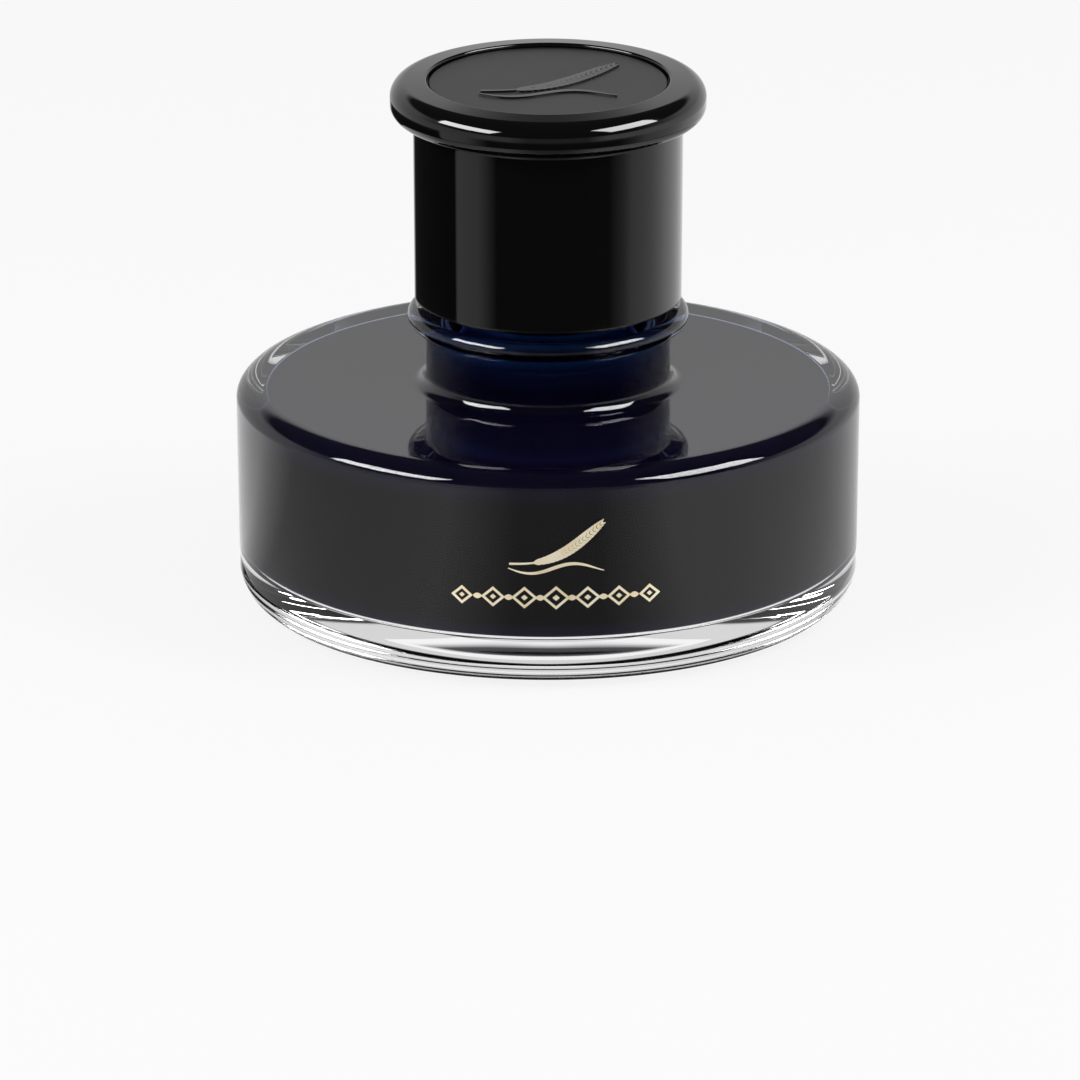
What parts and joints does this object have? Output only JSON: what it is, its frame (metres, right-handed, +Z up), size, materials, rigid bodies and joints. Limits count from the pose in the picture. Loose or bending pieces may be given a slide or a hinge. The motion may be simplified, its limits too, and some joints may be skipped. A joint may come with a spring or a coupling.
{
  "type": "ink bottle",
  "caption": "Round clear glass ink bottle, filled with ink, with a tall flanged screw cap, an inner threaded closure and a plug-seal liner.",
  "frame": {"origin": "centre of the foot, on the surface that the bottle stands on", "axes": "+Z up along the bottle's axis, -Y the front with the printed ornament"},
  "size_m": [0.07, 0.0701, 0.0605],
  "materials": {
    "glass": "clear, fire polished",
    "ink": "blue ink, black where it is deep",
    "gold": "pale gold hot-stamped print",
    "black_gloss": "polished black moulding",
    "black_satin": "satin black moulding",
    "black_matte": "black polypropylene moulding",
    "natural_plastic": "natural polyethylene",
    "foam": "expanded liner board"
  },
  "bodies": {
    "bottle": {"glass_bottle": "glass", "ink_fill": "ink", "quill_print": "gold", "border_print": "gold"},
    "liner": {"seal_liner": "natural_plastic", "liner_wad": "foam"},
    "cap": {"cap_shell": "black_gloss", "cap_top_disc": "black_satin", "inner_closure": "black_matte"}
  },
  "joints": [
    {"name": "cap_rise", "type": "slide", "parent": "bottle", "child": "liner", "axis": [0, 0, 1], "range_m": [0, 0.0128]},
    {"name": "cap_turn", "type": "hinge", "parent": "liner", "child": "cap", "pos_m": [0, 0, 0.04], "axis": [0, 0, 1], "range_deg": [0, 1440]}
  ],
  "couplings": [
    {"joint": "cap_rise", "follows": "cap_turn", "m_per_rad": 0.00050532}
  ]
}
